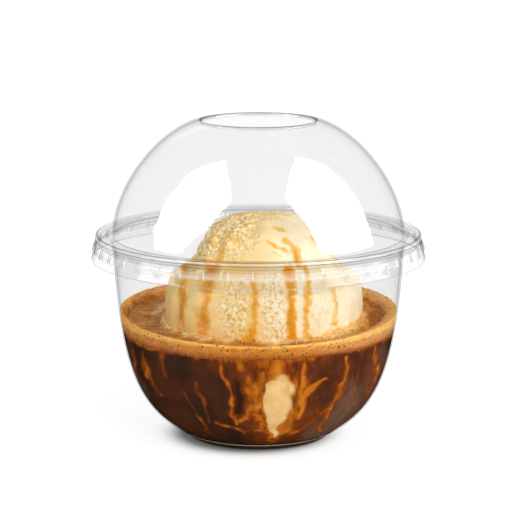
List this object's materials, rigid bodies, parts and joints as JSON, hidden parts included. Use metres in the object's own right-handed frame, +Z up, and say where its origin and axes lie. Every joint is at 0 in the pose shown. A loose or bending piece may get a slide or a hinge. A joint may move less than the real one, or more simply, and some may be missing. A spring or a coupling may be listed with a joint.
{
  "type": "affogato in a lidded dessert cup",
  "caption": "Ice cream scoop afloat in coffee with crema, in a clear dessert cup under a clear dome lid with a round hole.",
  "frame": {"origin": "middle of the cup's foot, at the level that it stands on", "axes": "+Z up along the axis of the cup and the lid, -Y towards the shown front, +X to the right of it"},
  "size_m": [0.1014, 0.1014, 0.097],
  "materials": {
    "cup_plastic": "clear thin moulded plastic, glossy",
    "lid_plastic": "clear thin moulded plastic, glossy, ribbed skirt",
    "coffee": "dark coffee with amber and cream swirls",
    "crema": "golden brown foam with small dark bubbles",
    "ice_cream": "pale cream ice cream, rough on top, with amber drips"
  },
  "bodies": {
    "root": {"cup": "cup_plastic", "lid": "lid_plastic", "coffee": "coffee", "crema": "crema", "ice_cream": "ice_cream"}
  },
  "joints": []
}
